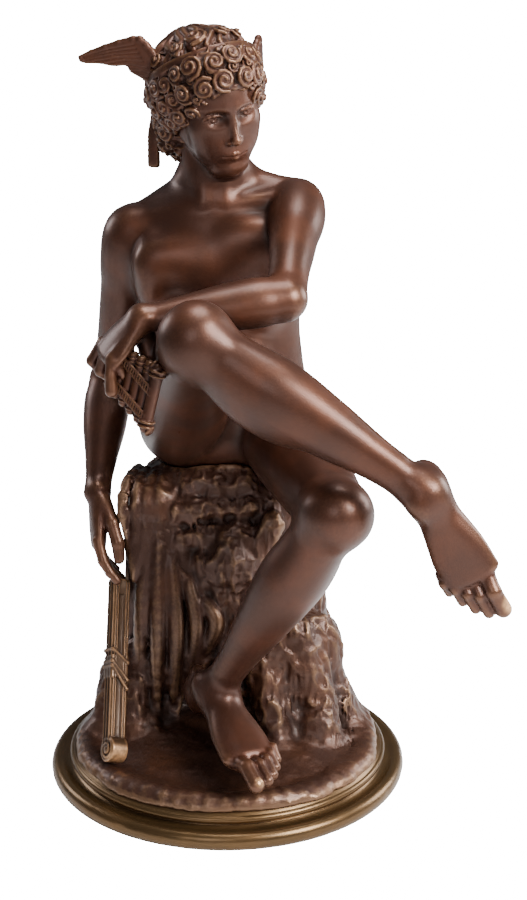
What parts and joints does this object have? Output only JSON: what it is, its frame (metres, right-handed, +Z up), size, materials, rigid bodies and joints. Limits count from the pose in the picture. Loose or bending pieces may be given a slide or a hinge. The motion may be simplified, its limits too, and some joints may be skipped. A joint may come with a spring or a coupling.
{
  "type": "mercury statue",
  "caption": "Bronze statue of a nude youth with a winged head, seated on a draped rock on a round turned plinth, with a sheathed sword and pan pipes.",
  "frame": {"origin": "middle of the plinth's underside", "axes": "+Z up, -Y to the front that the figure faces, +X to the crossed foot's side"},
  "size_m": [0.3487, 0.2936, 0.5838],
  "materials": {
    "figure": "dark brown patinated bronze, satin",
    "rock": "brown patinated bronze, rough chased, worn on its high points",
    "plinth": "olive brown brass, polished by handling",
    "sword": "brown bronze, rubbed to gold on its edges",
    "pan_pipes": "brown patinated bronze",
    "wing": "brown patinated bronze, satin"
  },
  "bodies": {
    "root": {"figure": "figure", "rock": "rock", "plinth": "plinth", "sword": "sword", "pan_pipes": "pan_pipes", "wing_right": "wing", "wing_left": "wing"}
  },
  "joints": []
}
